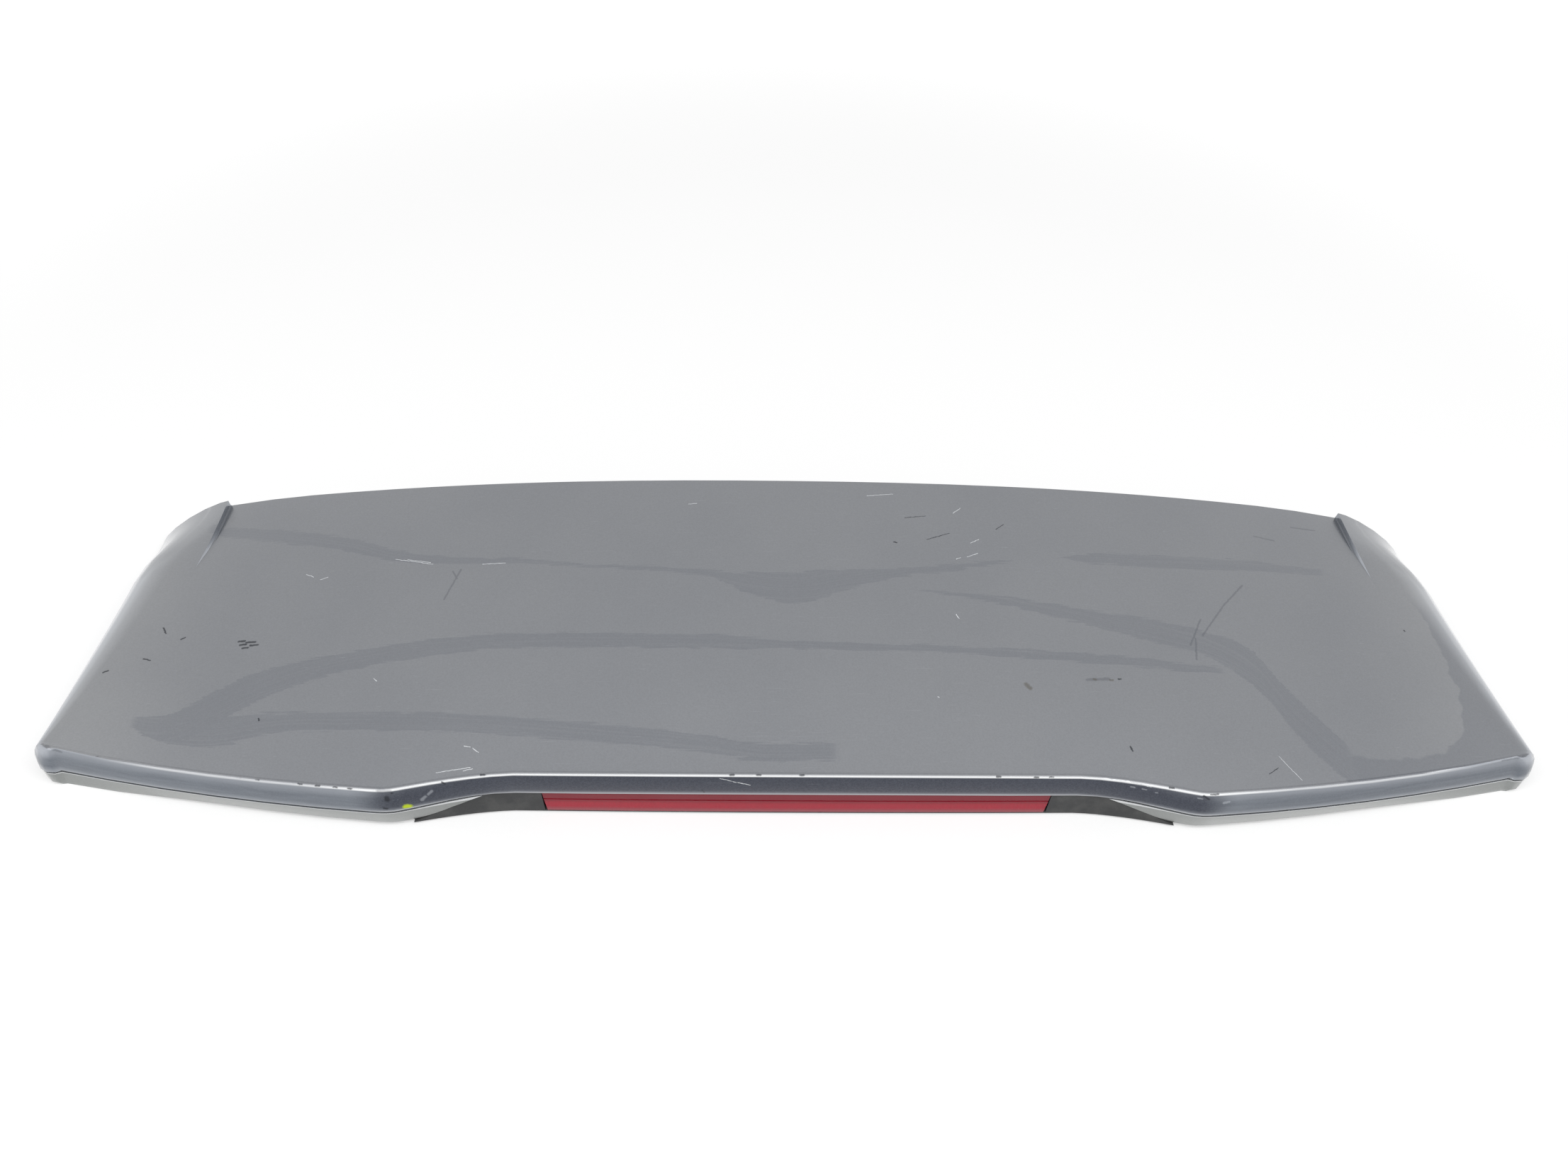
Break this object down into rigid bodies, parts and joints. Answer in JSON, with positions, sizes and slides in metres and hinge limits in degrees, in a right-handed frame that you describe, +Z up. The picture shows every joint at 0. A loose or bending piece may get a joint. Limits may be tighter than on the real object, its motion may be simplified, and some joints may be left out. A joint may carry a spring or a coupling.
{
  "type": "car rear spoiler",
  "caption": "Car rear spoiler: nested thin shells with a crowned leading edge, raised front corners and a stepped trailing edge that holds a slim red brake light in black trim.",
  "frame": {"origin": "middle of the bounding box on the surface that the part stands on", "axes": "+X across the car to the right in the picture, -Y out of the trailing edge, +Z up out of the panel"},
  "size_m": [1.2242, 0.3514, 0.082],
  "materials": {
    "body_paint": "dark blue-grey metallic paint, dusty, wiped in streaks",
    "lower_paint": "the same paint, less gloss on the underside",
    "black_plastic": "black moulded trim",
    "red_lens": "red acrylic",
    "soft_foam": "closed-cell foam",
    "dark_plastic": "black moulded housing",
    "mirror_coat": "bright coated plastic",
    "board_green": "green circuit board",
    "led_red": "red diodes",
    "chip_black": "black chips",
    "pin_brass": "bright pins",
    "zinc_steel": "zinc plated",
    "stud_steel": "zinc plated",
    "plate_steel": "pressed sheet steel",
    "clip_nylon": "natural nylon",
    "seal_rubber": "black rubber"
  },
  "bodies": {
    "root": {"upper_shell": "body_paint", "lower_shell": "lower_paint", "lamp_trim": "black_plastic", "trim_screws": "zinc_steel", "lamp_lens": "red_lens", "lamp_gasket": "soft_foam", "lamp_housing": "dark_plastic", "lamp_reflector": "mirror_coat", "lamp_board": "board_green", "lamp_leds": "led_red", "lamp_resistors": "chip_black", "lamp_terminals": "pin_brass", "lamp_screws": "zinc_steel", "mounting_studs": "stud_steel", "stud_plates": "plate_steel", "plate_screws": "zinc_steel", "stud_seals": "soft_foam", "front_clips": "clip_nylon", "front_seal": "seal_rubber", "rubber_buffers": "seal_rubber"}
  },
  "joints": []
}
